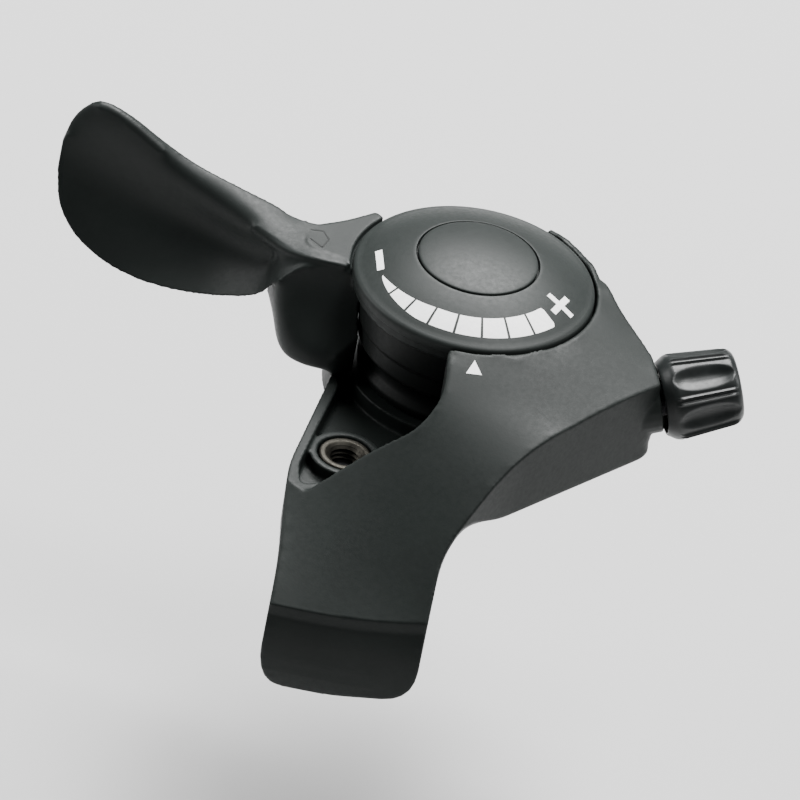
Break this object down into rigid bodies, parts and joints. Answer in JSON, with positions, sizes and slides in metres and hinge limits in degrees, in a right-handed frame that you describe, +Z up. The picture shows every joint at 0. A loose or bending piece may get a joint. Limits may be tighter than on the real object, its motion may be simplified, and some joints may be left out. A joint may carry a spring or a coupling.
{
  "type": "thumb shifter",
  "caption": "Left-hand friction gear lever for a handlebar: thumb paddle and domed dial turning on a saddle bracket with a strap clamp and a barrel adjuster.",
  "frame": {"origin": "middle of the handlebar clamp, on the handlebar's axis and half way along the saddle lobe", "axes": "+X along the handlebar towards the cable outlet, +Z up along the lever's pivot axis, +Y away from the rider"},
  "size_m": [0.1026, 0.0716, 0.0526],
  "materials": {
    "housing_plastic": "satin moulded charcoal plastic",
    "lever_plastic": "satin moulded charcoal plastic",
    "dial_plastic": "satin moulded charcoal plastic, slightly lighter",
    "drum_plastic": "dark moulded plastic",
    "knob_plastic": "black semi-gloss plastic",
    "print_white": "white pad print",
    "plated_steel": "zinc plated steel",
    "dark_steel": "black oxide steel",
    "brass": "turned brass",
    "nylon": "natural nylon"
  },
  "bodies": {
    "bracket": {"bracket_housing": "housing_plastic", "base_cover": "drum_plastic", "cover_screw_1": "dark_steel", "cover_screw_2": "dark_steel", "cover_screw_3": "dark_steel", "pivot_stud": "plated_steel", "pivot_screw": "dark_steel", "lock_washer": "plated_steel", "disc_spring_lower": "plated_steel", "disc_spring_upper": "plated_steel", "clamp_band": "dark_steel", "clamp_bolt": "dark_steel", "clamp_washer": "plated_steel", "clamp_nut": "plated_steel", "friction_washer_lower": "nylon", "adjuster_insert": "dark_steel"},
    "lever": {"thumb_lever": "lever_plastic", "cable_drum": "drum_plastic", "drum_bushing": "brass", "friction_washer_upper": "nylon", "indicator_dial": "dial_plastic", "dial_cap": "dial_plastic"},
    "adjuster_carriage": {"ferrule_cup": "nylon"},
    "adjuster": {"adjuster_knob": "knob_plastic", "adjuster_bolt": "dark_steel", "adjuster_spring": "plated_steel"}
  },
  "joints": [
    {"name": "lever_turn", "type": "hinge", "parent": "bracket", "child": "lever", "pos_m": [0.0082, 0.0388, 0.0355], "axis": [0, 0, 1], "range_deg": [-50, 54]},
    {"name": "adjuster_travel", "type": "slide", "parent": "bracket", "child": "adjuster_carriage", "axis": [0.9228, 0.2998, 0.2419], "range_m": [0, 0.004]},
    {"name": "adjuster_turn", "type": "hinge", "parent": "adjuster_carriage", "child": "adjuster", "pos_m": [0.0374, 0.0315, 0.0227], "axis": [0.9228, 0.2998, 0.2419], "range_deg": [0, 1801]}
  ],
  "couplings": [
    {"joint": "adjuster_turn", "follows": "adjuster_travel", "rad_per_m": 7854}
  ]
}
